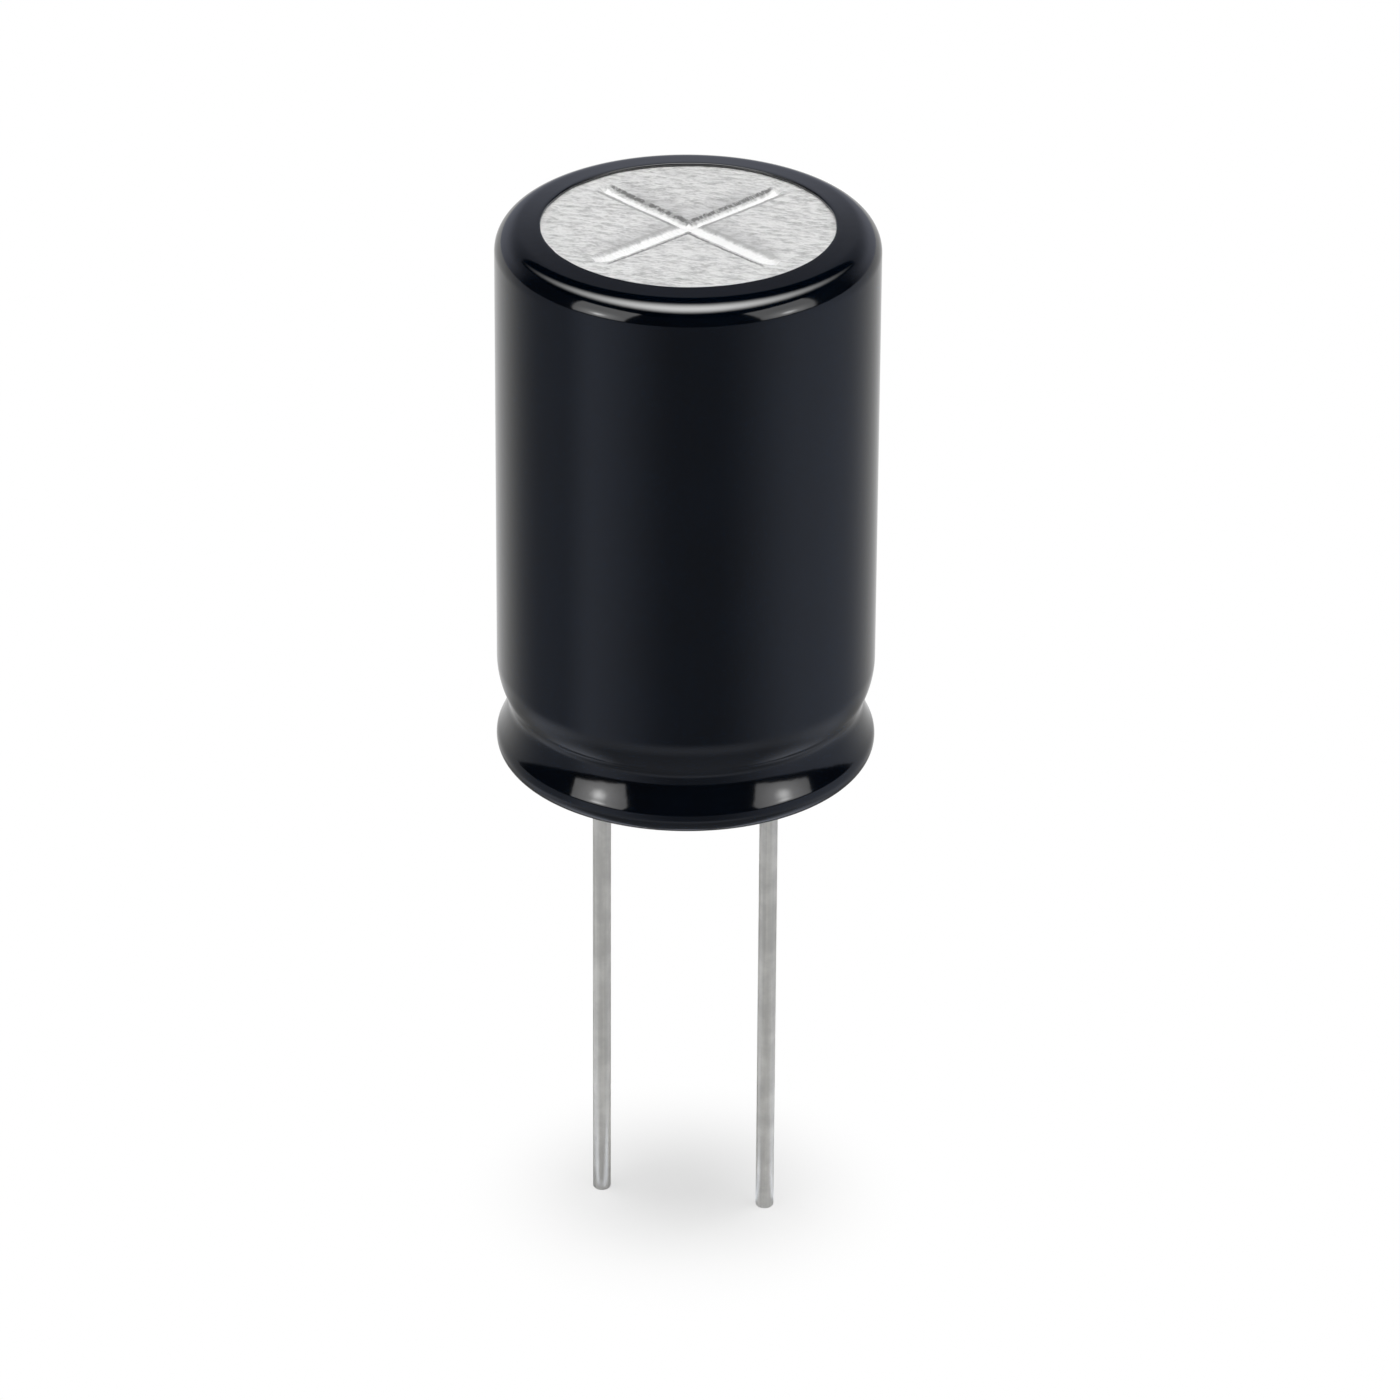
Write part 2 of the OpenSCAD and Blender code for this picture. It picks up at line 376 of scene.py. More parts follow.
def film_material(tint):
    """Glossy shrink film, faintly streaked along the can."""
    material, shader, point = new_material(
        "shrink_film", {"IOR": 1.6, "Specular IOR Level": 0.8}
    )
    streaks = speckle(stretched(point, (1, 1, 0.03)), 900, 3.0)
    cloud = speckle(point, 260, 3.0)
    peel = speckle(point, 2200, 2.0)
    shade = tuple(0.55 * c for c in tint)
    set_surface(shader, point, {
        "Base Color": blend_colours(cloud.between(0.3, 0.7), shade, tint),
        "Roughness": 0.05 + 0.04 * streaks + 0.02 * cloud,
        "Normal": bumped(peel + 1.5 * cloud, 0.004 * MM, 0.5),
    })
    return material


# Painted shadow lines of burrs beside each arm: place across the arm and distance from the centre
# over which it sets in, both in millimetres, and strength. The distance's sign says on which end of the
# arm it lies.
PAINTED_BURR_SHADOW_LINES = (
    (0.33, 0.8, 1.0),
    (0.42, -0.8, 0.3),
    (-0.60, -0.8, 0.9),
    (-0.52, 0.8, 0.6),
)
# Painted highlight: the colour that whitens the score.
PAINTED_SCORE_HIGHLIGHT = (0.97, 0.97, 0.97)
# Painted shadow beside the burrs.
PAINTED_BURR_SHADOW = (0.14, 0.14, 0.14)
# Painted shade on each arm's far side.
PAINTED_FAR_SIDE_SHADE = (0.40, 0.40, 0.41)


def inside_score(point, first, second, tip, ragged):
    """1 in the scored cross on the can's top and 0 beside it, with a ragged edge: where the highlight is
    painted.
    """
    # The painted highlight is narrower on the arms that point to the back than on the ones in front.
    back_half, front_gain, change = 0.21 * MM, 0.12 * MM, 0.6 * MM
    outside = [
        across.magnitude().maths("MAXIMUM", along.magnitude() - tip)
        - (back_half + front_gain * (1 - along.between(-change, change)))
        for across, along in ((second, first), (first, second))
    ]
    hub = (first * first + second * second).maths("SQRT") - 0.42 * MM
    nearest = outside[0].maths("MINIMUM", outside[1]).maths("MINIMUM", hub) + ragged
    on_top = point.dot(AXIS).between(0.5 * CAN_TOP, CAN_TOP - MM)
    return (1 - nearest.between(-0.10 * MM, 0.0)) * on_top


def beside_score(first, second, tip, ragged):
    """How strongly the painted shadow of a ragged burr lies beside an arm."""
    burr_shadow = None
    for across, along in ((second, first), (first, second)):
        in_reach = 1 - (along.magnitude() - tip).between(0, 0.3 * MM)
        for place, run_in, strength in PAINTED_BURR_SHADOW_LINES:
            line = 1 - (across - place * MM + ragged).magnitude().between(0.03 * MM, 0.11 * MM)
            line = line * along.between(-run_in * MM, run_in * MM) * in_reach * strength
            burr_shadow = line if burr_shadow is None else burr_shadow.maths("MAXIMUM", line)
    return burr_shadow


def far_side_shade(first, second, reach):
    """How strongly painted shade darkens each arm's far side."""
    far_shade = [
        across.between(0.15 * MM, 0.4 * MM) * (1 - across.between(0.4 * MM, 1.7 * MM))
        * (1 - along.magnitude().between(0.6 * reach, reach))
        for across, along in ((second, first), (first, second))
    ]
    return far_shade[0].maths("MAXIMUM", far_shade[1])


def aluminium_material(name, metal, vent):
    """Soft stamped aluminium with fine crinkles, a painted highlight in the score, painted shade on each
    arm's far side and painted burr shadows beside the arms.
    """
    material, shader, point = new_material(name, {"Metallic": 0.3})
    crinkle = speckle(stretched(point, (1.0, 2.6, 1.0), (0, 0, math.radians(14))), 1900, 4.0, 0.6)
    fine = speckle(stretched(point, (1.0, 3.0, 1.0), (0, 0, math.radians(-10))), 5200, 3.0, 0.6)
    cloud = speckle(point, 420, 3.0)
    ragged = 0.16 * MM * (speckle(point, 4200, 3.0, 0.6) - 0.5)
    along_cross = stretched(point, (1, 1, 1), (0, 0, -vent.turn))
    first = along_cross.dot((1, 0, 0)) - vent.off_centre
    second = along_cross.dot((0, 1, 0)) - vent.off_centre
    tip = vent.reach - vent.width / 2
    score = inside_score(point, first, second, tip, ragged)
    burr_shadow = beside_score(first, second, tip, ragged) * (crinkle + 0.6 * fine).between(0.58, 0.84)
    shade = tuple(0.50 * c for c in metal)
    base = blend_colours((crinkle + 0.4 * fine).between(0.40, 0.84), shade, metal)
    # Painted shade: each arm's far side is painted darker.
    base = blend_colours(0.42 * far_side_shade(first, second, vent.reach), base, PAINTED_FAR_SIDE_SHADE)
    # Painted shadow: dark lines beside the arms, broken up by the crinkle.
    base = blend_colours(0.9 * burr_shadow, base, PAINTED_BURR_SHADOW)
    # Painted highlight: the score is painted near white.
    base = blend_colours(score, base, PAINTED_SCORE_HIGHLIGHT)
    set_surface(shader, point, {
        "Base Color": base,
        "Roughness": 0.50 + 0.12 * cloud + 0.10 * fine,
        "Normal": bumped(crinkle + 0.35 * fine, 0.12 * MM, 1.0),
    })
    return material


def wire_material(tin):
    """Satin tin plating with faint drawing marks along the wire."""
    material, shader, point = new_material("tinned_wire", {"Metallic": 0.42})
    drawn = speckle(stretched(point, (1, 1, 0.02)), 6500, 3.0)
    cloud = speckle(point, 700, 4.0, 0.6)
    spots = speckle(point, 3800, 3.0, 0.6)
    shade = tuple(0.76 * c for c in tin)
    set_surface(shader, point, {
        "Base Color": blend_colours((0.6 * cloud + 0.4 * drawn).between(0.35, 0.65), shade, tin),
        "Roughness": 0.24 + 0.10 * cloud + 0.05 * spots,
        "Normal": bumped(drawn + 0.3 * spots, 0.004 * MM, 0.4),
    })
    return material


def rubber_material():
    """Matt moulded rubber with a pale bloom."""
    material, shader, point = new_material("seal_rubber", {"IOR": 1.5})
    grain = speckle(point, 5200, 4.0, 0.7)
    bloom = speckle(point, 380, 4.0, 0.6)
    set_surface(shader, point, {
        "Base Color": blend_colours(
            bloom.between(0.35, 0.75), (0.018, 0.017, 0.016), (0.045, 0.043, 0.041)),
        "Roughness": 0.62 + 0.18 * bloom,
        "Normal": bumped(grain, 0.02 * MM, 0.6),
    })
    return material


def foil_material(name, tone, etched):
    """Aluminium foil, dull and pitted where it is etched."""
    material, shader, point = new_material(name, {"Metallic": 1.0})
    pits = speckle(point, 9000, 3.0, 0.7)
    rolling = speckle(stretched(point, (1, 1, 18)), 260, 3.0)
    shade = tuple(0.7 * c for c in tone)
    set_surface(shader, point, {
        "Base Color": blend_colours(
            (pits * etched + rolling * (1 - etched)).between(0.3, 0.7), shade, tone),
        "Roughness": 0.28 + 0.45 * etched + 0.12 * rolling,
        "Normal": bumped(pits * etched + rolling, 0.01 * MM, 0.6),
    })
    return material


def paper_material():
    """Damp separator paper with fibres along the strip."""
    material, shader, point = new_material("separator_paper", {"IOR": 1.4})
    fibres = speckle(stretched(point, (1, 1, 4)), 3600, 5.0, 0.7)
    damp = speckle(point, 240, 3.0)
    set_surface(shader, point, {
        "Base Color": blend_colours(
            (fibres + 0.6 * damp).between(0.5, 1.1), (0.52, 0.42, 0.25), (0.76, 0.66, 0.46)),
        "Roughness": 0.55 + 0.3 * damp,
        "Normal": bumped(fibres, 0.03 * MM, 0.8),
    })
    return material


def tape_material():
    """Thin glossy film tape."""
    material, shader, point = new_material("winding_tape", {"IOR": 1.5})
    rolled = speckle(stretched(point, (1, 1, 12)), 420, 3.0)
    set_surface(shader, point, {
        "Base Color": blend_colours(rolled.between(0.3, 0.7), (0.5, 0.38, 0.19), (0.66, 0.54, 0.32)),
        "Roughness": 0.2 + 0.15 * rolled,
        "Normal": bumped(rolled, 0.01 * MM, 0.4),
    })
    return material


# Pieces


class CAPACITOR_OT_sleeve(bpy.types.Operator):
    """Spins the shrink film over the can, with its sloping top ring, bridged groove and laps"""

    bl_idname = "capacitor.sleeve"
    bl_label = "Film sleeve"

    def execute(self, context):
        body, film = context.scene.capacitor_body, context.scene.capacitor_film
        skin = film.clearance + film.thickness
        outer = bridged(body, film, skin)
        inner = bridged(body, film, film.clearance)
        wall = body.can_radius + skin
        under = Vector((body.can_radius - body.can_shoulder, CAN_TOP - body.can_shoulder))
        round_r = body.can_shoulder + skin
        brow = 90 - math.degrees(film.ring_fall)
        edge = film.edge
        top_edge = Vector((film.top_radius + edge, BODY_TOP - edge))
        eased = arc(top_edge, edge, brow, 180, steps=8)
        # The shoulder drops by as much as the ring falls from the opening to it.
        shoulder = arc(under, round_r, 0, brow, steps=26)
        fall = (shoulder[-1].x - eased[0].x) * math.tan(film.ring_fall)
        drop = Vector((0, eased[0].y - fall - shoulder[-1].y))
        shoulder = [point + drop for point in shoulder]
        ring = self.steps_from(shoulder[-1], eased[0], 5)
        seat_edge = Vector((film.seat_radius + edge, edge))
        lip = [Vector((film.seat_radius, film.thickness)), *arc(seat_edge, edge, 180, 270, steps=6)]
        wall_steps = self.steps_from(Vector((wall, outer[-1].y)), Vector((wall, shoulder[0].y)), 24)
        profile = (
            lip + outer + wall_steps + shoulder + ring + eased
            + [Vector((film.top_radius, CAN_TOP + film.clearance))]
            + arc(under, body.can_shoulder + film.clearance, 90, 0, steps=8)
            + inner[::-1]
        )
        bm = bmesh.new()
        spun(bm, profile, body.segments, closed=True)
        for vert in bm.verts:
            out = Vector((vert.co.x, vert.co.y, 0))
            if vert.co.z > CAN_TOP and out.length < film.top_radius + 1.5 * edge:
                vert.co += out.normalized() * film.ripple * waves(out, 900, 3.0)
        finished(bm, "shrink_sleeve", film_material(film.tint[:]), ["sleeve"])
        return {"FINISHED"}

    def steps_from(self, start, end, count):
        """The points that cut a straight stretch into that many steps, without its ends."""
        return [start.lerp(end, k / count) for k in range(1, count)]


# The pressed top: the join round it, the sides of its disc, and the spacing of its grid's lines
# in the score, near the arms' ends and elsewhere.
JOIN = 0.1 * MM
TOP_SIDES = 72
SCORE_LINES = 12
FIRST_OPEN_LINE = 0.66 * MM
SCORE_STEP = 0.05 * MM
END_STEP = 0.07 * MM
OPEN_STEP = 0.11 * MM
# Unevenness of the score, length over which an arm tapers and the score's sloping share of its half width.
JITTER = 0.03 * MM
ARM_TAPER = 0.55 * MM
SCORE_FLANK = 0.82
# Height of the crinkle and the width over which it fades out at the disc's edge.
CRINKLE = 0.012 * MM
RIM_FADE = 1.2 * MM


def clipped(value):
    """The value, held between 0 and 1."""
    return min(1.0, max(0.0, value))


class CAPACITOR_OT_can(bpy.types.Operator):
    """Presses the scored top and joins it to the spun wall, bead and curled rim"""

    bl_idname = "capacitor.can"
    bl_label = "Scored can"

    def execute(self, context):
        body, vent = context.scene.capacitor_body, context.scene.capacitor_vent
        ring = body.can_radius - body.can_shoulder - JOIN
        bm = bmesh.new()
        self.press_top(bm, vent, ring - JOIN)
        self.spin_wall(bm, body, ring)
        open_edges = [edge for edge in bm.edges if edge.is_boundary]
        bmesh.ops.bridge_loops(bm, edges=open_edges)
        finished(bm, "scored_can", aluminium_material("can_aluminium", vent.metal[:], vent),
                 ["can"])
        return {"FINISHED"}

    def press_top(self, bm, vent, radius):
        """A grid whose lines run along the cross, cut to a disc and pressed into shape."""
        lines = self.grid_lines(vent, radius)
        count = len(lines) - 1
        bmesh.ops.create_grid(bm, x_segments=count, y_segments=count, size=0.5)
        for vert in bm.verts:
            u = lines[round((vert.co.x + 0.5) * count)]
            v = lines[round((vert.co.y + 0.5) * count)]
            vert.co = Vector((u + vent.off_centre, v + vent.off_centre, 0))
        for k in range(TOP_SIDES):
            out = Vector((math.cos(math.tau * k / TOP_SIDES), math.sin(math.tau * k / TOP_SIDES), 0))
            bmesh.ops.bisect_plane(
                bm, geom=bm.verts[:] + bm.edges[:] + bm.faces[:], dist=1e-7,
                plane_co=out * radius, plane_no=out, clear_outer=True,
            )
        for vert in bm.verts:
            vert.co.z = CAN_TOP + self.pressed(vert.co, vent, radius)
        bmesh.ops.rotate(bm, verts=bm.verts, cent=(0, 0, 0), matrix=Matrix.Rotation(vent.turn, 3, "Z"))

    def grid_lines(self, vent, radius):
        """Line places on one side and the other of the centre, close together in the score."""
        places = [SCORE_STEP * k for k in range(SCORE_LINES)] + [FIRST_OPEN_LINE]
        while places[-1] < radius + vent.off_centre + 0.12 * MM:
            near_end = abs(places[-1] - vent.reach) < 0.5 * MM
            places.append(places[-1] + (END_STEP if near_end else OPEN_STEP))
        return [-p for p in places[:0:-1]] + places

    def pressed(self, co, vent, radius):
        """Height of the top at a point of the cross's own grid."""
        flat_edge = radius - co.length
        co = co - Vector((vent.off_centre, vent.off_centre, 0))
        drop = 0.0
        dish = 0.0
        for along, across in ((co.x, co.y), (co.y, co.x)):
            jitter = JITTER * waves(Vector((along, 0, 0)), 1100, 5.0 + (co.x == along))
            half = vent.width / 2 + jitter
            taper = math.sqrt(clipped((vent.reach - abs(along)) / ARM_TAPER))
            side = abs(across + 0.4 * jitter) / (half * max(taper, 1e-6))
            if side < 1.0:
                drop = max(drop, vent.depth * taper * clipped((1.0 - side) / SCORE_FLANK))
            fade = 1 - clipped((abs(along) - 0.6 * vent.reach) / (0.55 * vent.reach))
            side = max(0.0, 1 - abs(across) / (vent.valley_width / 2))
            dish = max(dish, vent.valley_depth * fade * side * side * (3 - 2 * side))
        crinkle = CRINKLE * (waves(co, 1500, 1.0) + 0.5 * waves(co, 3300, 2.0))
        return -drop - dish + clipped(flat_edge / RIM_FADE) * (crinkle - CRINKLE)

    def spin_wall(self, bm, body, ring):
        """The wall from the top's rim down to the curl and up inside to the axis."""
        bead = crimp_centres(body)[0]
        shoulder = Vector((body.can_radius - body.can_shoulder, CAN_TOP - body.can_shoulder))
        curl = Vector((bead.x - body.rim_flat, CAN_BOTTOM + body.rim_curl))
        profile = (
            [Vector((ring, CAN_TOP))]
            + arc(shoulder, body.can_shoulder, 90, 0, steps=8)
            + crimp(body, 0)[::-1]
            + arc(curl, body.rim_curl, 270, 180, steps=8)
            + arc(curl, body.rim_curl - body.can_wall, 180, 270, steps=5)
            + crimp(body, -body.can_wall)
            + arc(shoulder, body.can_shoulder - body.can_wall, 0, 90, steps=5)
            + [Vector((ring * 0.5, CAN_TOP - body.can_wall)), Vector((0, CAN_TOP - body.can_wall))]
        )
        wall = bmesh.new()
        spun(wall, profile, body.segments, closed=False)
        mesh = bpy.data.meshes.new("wall")
        wall.to_mesh(mesh)
        wall.free()
        bm.from_mesh(mesh)
        bpy.data.meshes.remove(mesh)


class CAPACITOR_OT_leads(bpy.types.Operator):
    """Spins the two tinned wires with their eased tips and weld tapers"""

    bl_idname = "capacitor.leads"
    bl_label = "Wire leads"

    def execute(self, context):
        lead = context.scene.capacitor_lead
        tin = wire_material(lead.tin[:])
        tip = Vector((lead.radius - lead.tip, lead.tip - SEAT_TO_TIP))
        profile = (
            [Vector((0, -SEAT_TO_TIP)), Vector((tip.x / 2, -SEAT_TO_TIP))]
            + arc(tip, lead.tip, -90, 0, steps=6)
            + [Vector((lead.radius, tip.y + (lead.flare_foot - tip.y) * k / 12)) for k in range(1, 13)]
            + [Vector((lead.weld_radius, lead.weld_top)), Vector((0, lead.weld_top))]
        )
        for name, side in (("positive", 1), ("negative", -1)):
            bm = bmesh.new()
            spun(bm, profile, lead.segments, closed=False)
            finished(bm, "tinned_lead_" + name, tin, ["lead_wire_" + name],
                     at=(side * LEAD_X, 0, 0))
        return {"FINISHED"}


class CAPACITOR_OT_inner(bpy.types.Operator):
    """Gives the seal, terminals and winding their finishes"""

    bl_idname = "capacitor.inner"
    bl_label = "Seal and winding"

    def execute(self, context):
        etched = foil_material("etched_foil", (0.42, 0.43, 0.45), 0.9)
        plain = foil_material("plain_foil", (0.66, 0.67, 0.69), 0.2)
        pressed = foil_material("terminal_aluminium", (0.8, 0.8, 0.81), 0.3)
        paper = paper_material()
        finishes = {
            "rubber_seal": rubber_material(),
            "terminal_positive": pressed,
            "terminal_negative": pressed,
            "anode_foil": etched,
            "cathode_foil": plain,
            "separator_inner": paper,
            "separator_outer": paper,
            "winding_tape": tape_material(),
        }
        for node, material in finishes.items():
            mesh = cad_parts[node].data
            mesh.materials.clear()
            mesh.materials.append(material)
        return {"FINISHED"}


# Studio

# The camera's place and angles as fitted to the photo, before its turn about the body's axis.
CAMERA_TURN = math.radians(11.56)
CAMERA_PLACE = Vector((0, -0.31174, 0.16782))
CAMERA_PITCH = math.radians(27.96)
CAMERA_YAW = 0.0020
CAMERA_ROLL = 0.0064
# Distance of each lamp from the body's middle, and the size and radiance of the one straight above.
LAMP_DISTANCE = 0.6
OVERHEAD_SIZE = 0.20
OVERHEAD_RADIANCE = 5.5
WHITE = (1.0, 1.0, 1.0)
# Tones in which the object mirrors its surroundings.
BACKDROP_TONE = (0.94, 0.98, 1.15)
FLOOR_TONE = (0.90, 0.99, 1.22)
CANOPY_TONE = (1.0, 1.0, 0.995)
# Distances from the foot, in metres, between which one zone of the floor gives way to the next.
SHADOW_ZONE = (0.0, 0.0105)
FOOT_ZONE = (0.004, 0.011)
FLANK_ZONE = (0.012, 0.028)
MIDDLE_ZONE = (0.026, 0.036)
UNDER_ZONE = (0.036, 0.050)


def placed(azimuth, elevation, distance):
    """A point that many degrees round from the camera's side, seen from the body's middle."""
    a, e = math.radians(azimuth) + CAMERA_TURN, math.radians(elevation)
    return Vector((
        distance * math.sin(a) * math.cos(e),
        -distance * math.cos(a) * math.cos(e),
        distance * math.sin(e) + BODY_TOP / 2,
    ))


def ray_kinds(tree):
    """Wires that are 1 for camera rays, for glossy rays and for transmission rays."""
    path = tree.nodes.new("ShaderNodeLightPath")
    kinds = ("Is Camera Ray", "Is Glossy Ray", "Is Transmission Ray")
    return [Wire(tree, path.outputs[kind]) for kind in kinds]


def mirrored_floor(right, front, far):
    """A painted floor for the film and the leads to mirror, by the place's distances from the foot."""
    # The bearing of a place from the foot: 0 towards the camera, negative on its left.
    bearing = right.maths("ARCTAN2", front)
    aside = (bearing - 0.1).magnitude()
    gap = bearing.between(-2.5, -1.9) * (1 - bearing.between(-1.35, -0.95))
    sweep = 0.082 + 0.18 * aside.between(0.15, 1.15) + 0.50 * aside.between(1.7, 2.9) - 0.11 * gap
    # Under the body the mirrored floor is painted dim as a painted shadow, apart from both flanks, which
    # fade outwards.
    under = 1 - far.between(*UNDER_ZONE)
    round_foot = bearing.magnitude()
    flank = round_foot.between(0.85, 1.6) * (1 - round_foot.between(1.75, 2.3))
    near = 0.13 + 0.10 * far.between(*MIDDLE_ZONE) + flank * (0.48 - 0.36 * far.between(*FLANK_ZONE))
    sweep = sweep + (near - sweep) * under
    # Close to the foot the bearing is taken from the nearer lead.
    beside = (right.magnitude() - LEAD_X).maths("ARCTAN2", front).magnitude()
    foot = 0.16 + 0.8 * beside.between(0.7, 1.2) * (1 - beside.between(1.5, 2.1))
    sweep = sweep + (foot - sweep) * (1 - far.between(*FOOT_ZONE))
    # The tone is bluish in front and white behind, with a little white under the body.
    white_share = aside.between(1.5, 2.4).maths("MAXIMUM", 0.35 * under)
    return tinted(sweep, blend_colours(white_share, FLOOR_TONE, WHITE))


class CAPACITOR_OT_stage(bpy.types.Operator):
    """Sets the floor, the backdrop, the softboxes and the camera"""

    bl_idname = "capacitor.stage"
    bl_label = "Studio"

    def execute(self, context):
        scene = context.scene
        scene.view_settings.view_transform = "Standard"
        self.make_world(scene)
        self.make_floor(scene)
        self.make_side_box(
            scene, "side_box_left", azimuth=-52.5, elevation=23, width=0.38, height=0.455,
            level=1.05, glow=1.0, core=3.8)
        self.make_side_box(
            scene, "side_box_right", azimuth=60, elevation=23, width=0.41, height=0.455,
            level=0.95, glow=0.85, core=3.0)
        self.make_canopy(scene)
        self.make_overhead(scene)
        self.make_camera(scene)
        return {"FINISHED"}

    def make_world(self, scene):
        """White for the camera, a dim bluish backdrop for reflections and grey for diffuse light."""
        world = bpy.data.worlds.new("studio")
        scene.world = world
        world.use_nodes = True
        tree = world.node_tree
        direction = Wire(tree, tree.nodes.new("ShaderNodeTexCoord").outputs["Generated"])
        behind = direction.dot((-math.sin(CAMERA_TURN), math.cos(CAMERA_TURN), 0))
        up = direction.node("ShaderNodeSeparateXYZ", {}, {"Vector": direction}, output="Z")
        camera, glossy, through = ray_kinds(tree)
        backdrop = 0.014 + behind.between(0.25, 0.85) * (0.11 + 0.29 * (1 - up.between(0.2, 0.55)))
        white = (camera + through).clamped()
        shade = white + (1 - white) * (glossy * backdrop + (1 - glossy) * 0.25)
        shade = tinted(shade, BACKDROP_TONE, (1 - white) * glossy)
        tree.links.new(shade.socket, tree.nodes["Background"].inputs["Color"])

    def make_floor(self, scene):
        """A pale floor that keeps the leads' shadow, and that glossy rays see as a painted reflection
        pattern in its own tones.
        """
        bm = bmesh.new()
        bmesh.ops.create_circle(
            bm, cap_ends=True, radius=scene.capacitor_studio.floor_radius, segments=96)
        bmesh.ops.translate(bm, verts=bm.verts, vec=(0, 0, -SEAT_TO_TIP))
        mesh = bpy.data.meshes.new("floor")
        bm.to_mesh(mesh)
        bm.free()
        floor = bpy.data.objects.new("floor", mesh)
        scene.collection.objects.link(floor)
        material, shader, point = new_material("floor_paper", {
            "Base Color": (0.86, 0.86, 0.86, 1), "Roughness": 0.9, "Specular IOR Level": 0.0})
        tree = material.node_tree
        camera, glossy, through = ray_kinds(tree)
        flat = stretched(point, (1, 1, 0))
        far = flat.node("ShaderNodeVectorMath", {"operation": "LENGTH"}, {0: flat}, output="Value")
        front = flat.dot((math.sin(CAMERA_TURN), -math.cos(CAMERA_TURN), 0))
        right = flat.dot((math.cos(CAMERA_TURN), math.sin(CAMERA_TURN), 0))
        white = point.node("ShaderNodeEmission", {}, {"Color": as_input(WHITE), "Strength": 1.0})
        # Glossy rays see this painted reflection pattern in place of the lit floor.
        mirrored = point.node(
            "ShaderNodeEmission", {}, {"Color": mirrored_floor(right, front, far), "Strength": 1.0})
        # The shadow shows round the foot, at about half its strength, and fades out to white.
        whitened = (camera + through).clamped() * (0.47 + 0.53 * far.between(*SHADOW_ZONE))
        lit = Wire(tree, shader.outputs[0])
        shown = point.node("ShaderNodeMixShader", {}, {0: whitened, 1: lit, 2: white})
        shown = point.node("ShaderNodeMixShader", {}, {0: glossy, 1: shown, 2: mirrored})
        tree.links.new(shown.socket, tree.nodes["Material Output"].inputs["Surface"])
        mesh.materials.append(material)

    def make_side_box(self, scene, name, azimuth, elevation, width, height, level, glow, core):
        """A panel beside the camera, brightest low in its middle."""
        across, upward, lamp = self.make_panel(scene, name, azimuth, elevation, width, height)
        across, upward = across * (2 / width), upward * (2 / height)
        edge = (1 - across.magnitude().between(0.94, 1.0)) * (1 - upward.magnitude().between(0.94, 1.0))
        low = 1.3 * (upward + 0.52)
        off_spot = (across * across + low * low).maths("SQRT")
        spot = glow * (1 - off_spot.between(0.0, 1.0)) + core * (1 - off_spot.between(0.0, 0.36))
        lamp(edge * (level + spot))

    def make_canopy(self, scene):
        """A bowed strip of light overhead, brightest over the front of the body."""
        across, upward, lamp = self.make_panel(scene, "canopy", 0, 90, 1.5, 1.5)
        across, upward = across * (1 / LAMP_DISTANCE), upward * (1 / LAMP_DISTANCE)
        bowed = upward + 0.21 - 0.93 * across * across
        fade = 1 - across.magnitude().between(0.05, 1.15)
        soft = 6.4 * fade * (1 - bowed.magnitude().between(0.0, 0.53))
        lamp(tinted(soft, CANOPY_TONE))

    def make_panel(self, scene, name, azimuth, elevation, width, height):
        """A plane that faces the body; returns its own coordinates and a call that lights it."""
        bm = bmesh.new()
        bmesh.ops.create_grid(bm, x_segments=1, y_segments=1, size=0.5)
        bmesh.ops.scale(bm, verts=bm.verts, vec=(width, height, 1))
        mesh = bpy.data.meshes.new(name)
        bm.to_mesh(mesh)
        bm.free()
        box = bpy.data.objects.new(name, mesh)
        scene.collection.objects.link(box)
        box.location = placed(azimuth, elevation, LAMP_DISTANCE)
        a, e = math.radians(azimuth) + CAMERA_TURN, math.radians(elevation)
        box.rotation_euler = (math.pi / 2 - e, 0, a)
        material = bpy.data.materials.new(name)
        material.use_nodes = True
        tree = material.node_tree
        tree.nodes.remove(tree.nodes["Principled BSDF"])
        point = Wire(tree, tree.nodes.new("ShaderNodeTexCoord").outputs["Object"])
        across = point.node("ShaderNodeSeparateXYZ", {}, {"Vector": point}, output="X")
        upward = point.node("ShaderNodeSeparateXYZ", {}, {"Vector": point}, output="Y")

        def lamp(tone):
            lit = tone.node("ShaderNodeEmission", {}, {"Color": tone, "Strength": 1.0})
            tree.links.new(lit.socket, tree.nodes["Material Output"].inputs["Surface"])

        mesh.materials.append(material)
        return across, upward, lamp

    def make_overhead(self, scene):
        """A small lamp straight above, which only sets the soft pool of shadow round the leads."""
        lamp = bpy.data.lights.new("overhead", "AREA")
        lamp.shape = "DISK"
        lamp.size = OVERHEAD_SIZE
        lamp.energy = OVERHEAD_RADIANCE * math.pi * math.pi * (lamp.size / 2) ** 2
        box = bpy.data.objects.new("overhead", lamp)
        scene.collection.objects.link(box)
        box.location = placed(0, 90, LAMP_DISTANCE)
        box.visible_glossy = False

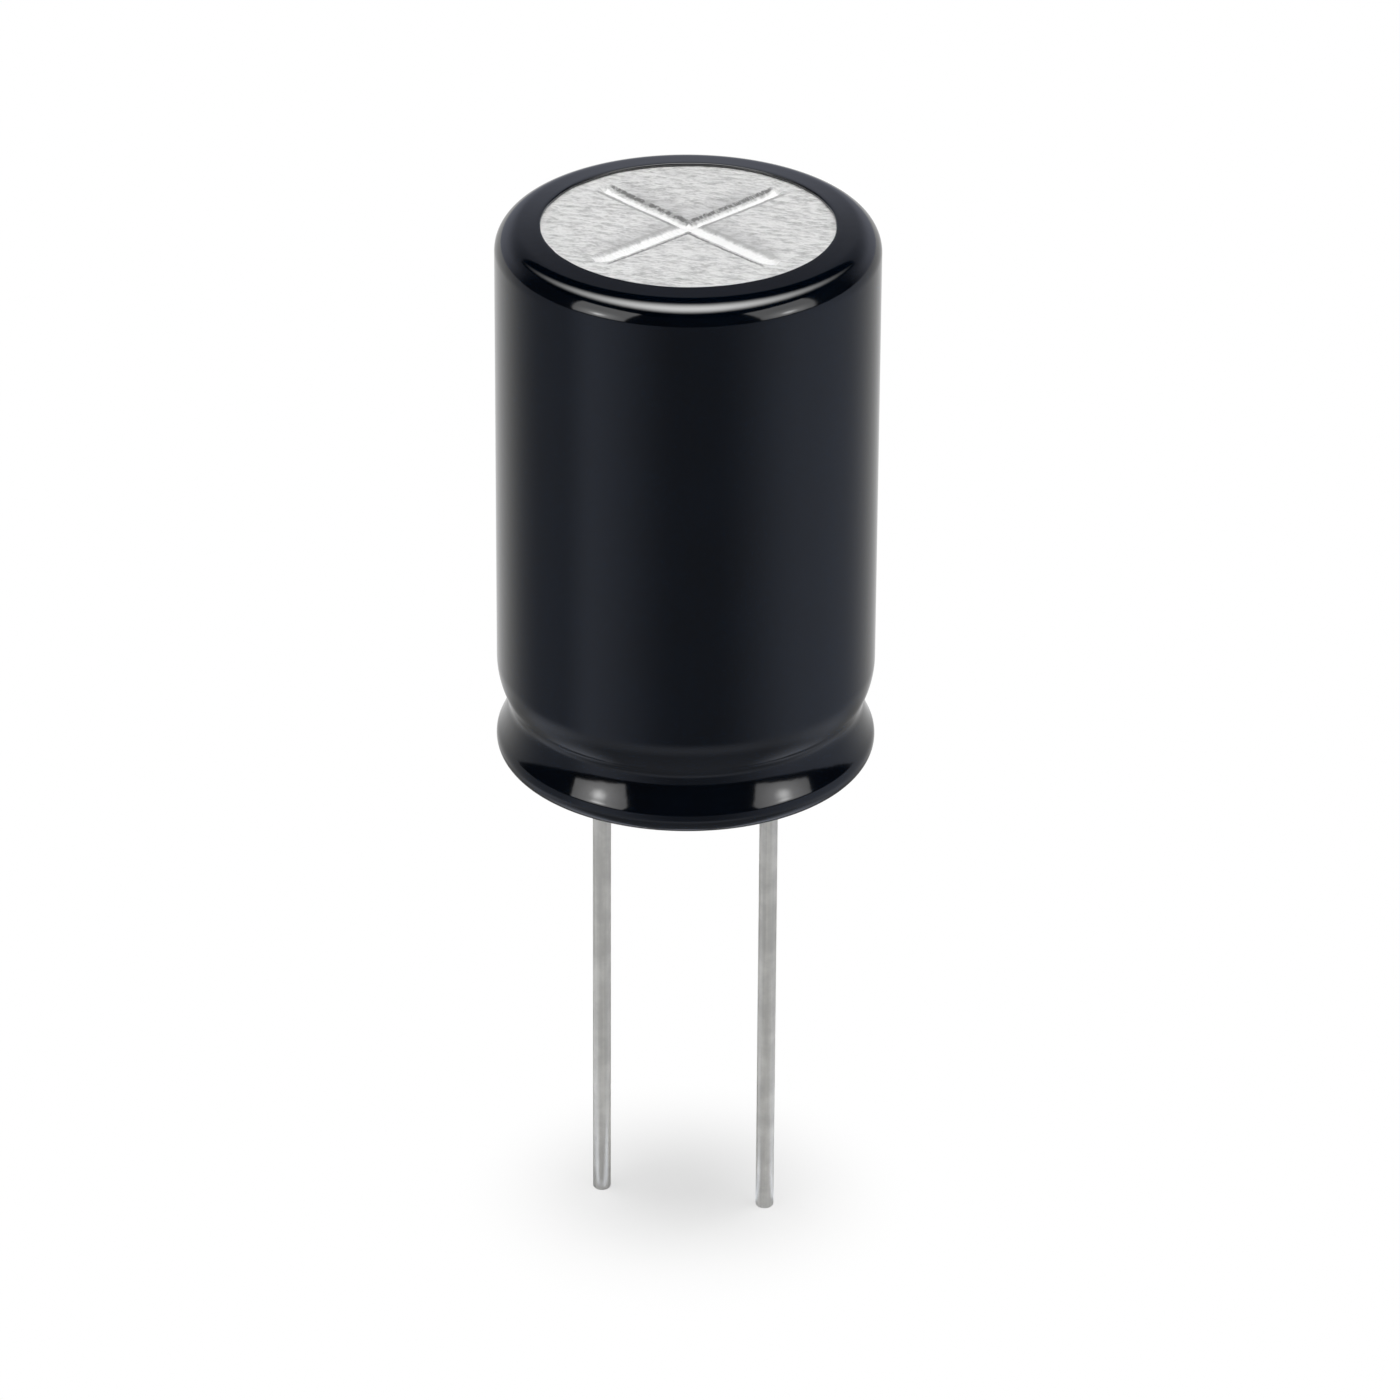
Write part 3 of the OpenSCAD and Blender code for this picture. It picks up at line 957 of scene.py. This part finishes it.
    def make_camera(self, scene):
        lens = bpy.data.cameras.new("camera")
        lens.lens = scene.capacitor_studio.lens
        lens.sensor_width = 36
        lens.clip_start, lens.clip_end = 0.01, 20
        camera = bpy.data.objects.new("camera", lens)
        scene.collection.objects.link(camera)
        turn = Matrix.Rotation(CAMERA_TURN, 3, "Z")
        level = math.cos(CAMERA_PITCH)
        ahead = turn @ Vector((
            math.sin(CAMERA_YAW) * level, math.cos(CAMERA_YAW) * level, -math.sin(CAMERA_PITCH)))
        side = ahead.cross(Vector(AXIS)).normalized()
        above = side.cross(ahead)
        right = math.cos(CAMERA_ROLL) * side + math.sin(CAMERA_ROLL) * above
        up = math.cos(CAMERA_ROLL) * above - math.sin(CAMERA_ROLL) * side
        facing = Matrix((right, up, -ahead)).transposed().to_4x4()
        camera.matrix_world = Matrix.Translation(turn @ CAMERA_PLACE) @ facing
        scene.camera = camera


class CAPACITOR_PT_panel(bpy.types.Panel):
    """The dressing's sizes and steps"""

    bl_label = "Capacitor"
    bl_space_type = "VIEW_3D"
    bl_region_type = "UI"
    bl_category = "Capacitor"

    def draw(self, context):
        for name in GROUPS:
            box = self.layout.box()
            group = getattr(context.scene, name)
            for key in group.__annotations__:
                box.prop(group, key)
        for operator in OPERATORS:
            self.layout.operator(operator.bl_idname)


GROUPS = {
    "capacitor_body": CAPACITOR_PG_body,
    "capacitor_film": CAPACITOR_PG_film,
    "capacitor_vent": CAPACITOR_PG_vent,
    "capacitor_lead": CAPACITOR_PG_lead,
    "capacitor_studio": CAPACITOR_PG_studio,
}
OPERATORS = (
    CAPACITOR_OT_sleeve, CAPACITOR_OT_can, CAPACITOR_OT_leads, CAPACITOR_OT_inner, CAPACITOR_OT_stage)


def register():
    for name, group in GROUPS.items():
        bpy.utils.register_class(group)
        setattr(bpy.types.Scene, name, PointerProperty(type=group))
    for entry in (*OPERATORS, CAPACITOR_PT_panel):
        bpy.utils.register_class(entry)


def unregister():
    for entry in (CAPACITOR_PT_panel, *reversed(OPERATORS)):
        bpy.utils.unregister_class(entry)
    for name, group in reversed(GROUPS.items()):
        delattr(bpy.types.Scene, name)
        bpy.utils.unregister_class(group)


def main():
    register()
    for operator in OPERATORS:
        family, step = operator.bl_idname.split(".")
        getattr(getattr(bpy.ops, family), step)()


if __name__ == "__main__":
    main()
